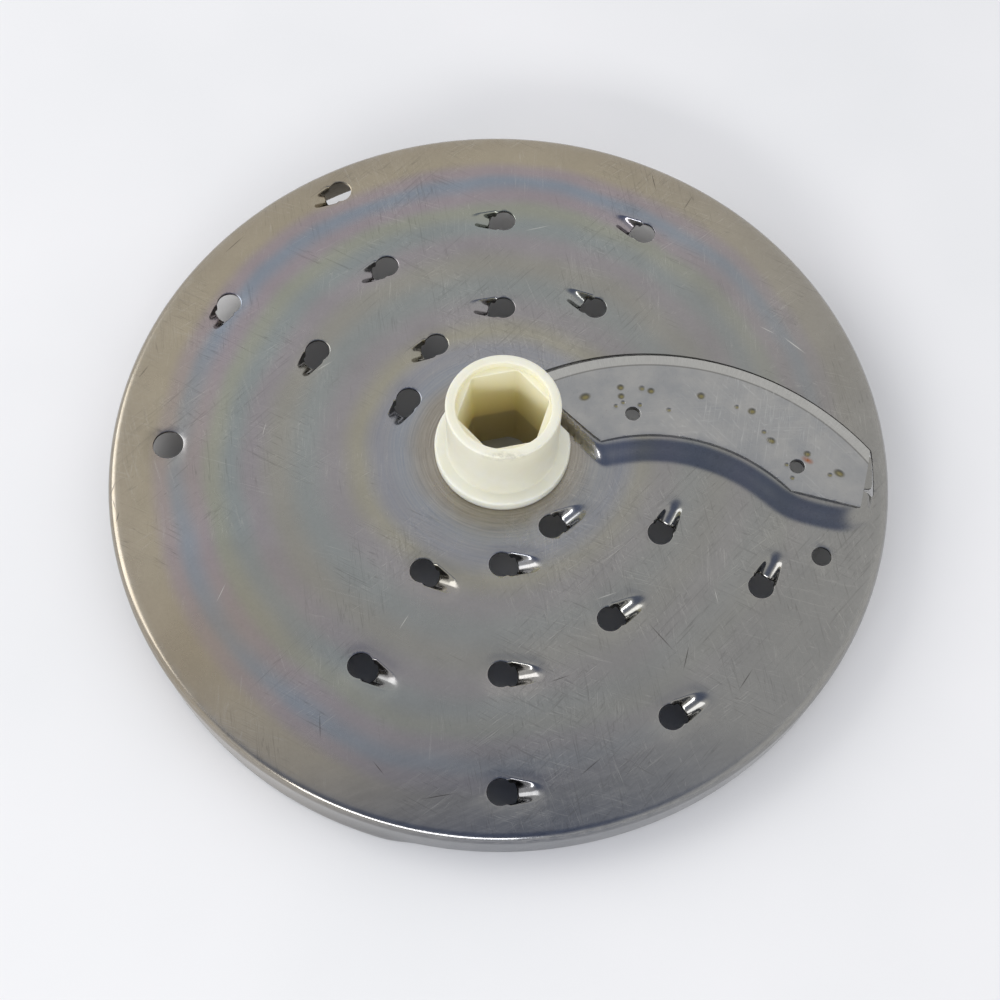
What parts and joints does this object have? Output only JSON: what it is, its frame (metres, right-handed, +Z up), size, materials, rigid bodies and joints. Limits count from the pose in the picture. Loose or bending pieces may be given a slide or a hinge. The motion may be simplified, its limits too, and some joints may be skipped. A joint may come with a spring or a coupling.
{
  "type": "food processor blade",
  "caption": "Reversible slicing and shredding disc for a food processor: stamped steel plate with a turned-down rim, pressed teeth, a raised curved blade and a plastic drive hub.",
  "frame": {"origin": "on the disc's axis, in the plane of the hub's lower end, on which the part stands", "axes": "+Z up along the disc's axis, slicing side up; +X to the right in the picture, towards the blade's outer end; +Y away from the viewer"},
  "size_m": [0.17, 0.17, 0.034],
  "materials": {
    "stainless_plate": "satin, worn and scratched, with faint heat tints",
    "stainless_blade": "ground satin, with a bright ground bevel",
    "ivory_plastic": "smooth moulded ivory, lightly aged"
  },
  "bodies": {
    "root": {"disc": "stainless_plate", "slicing_blade": "stainless_blade", "hub": "ivory_plastic"}
  },
  "joints": []
}
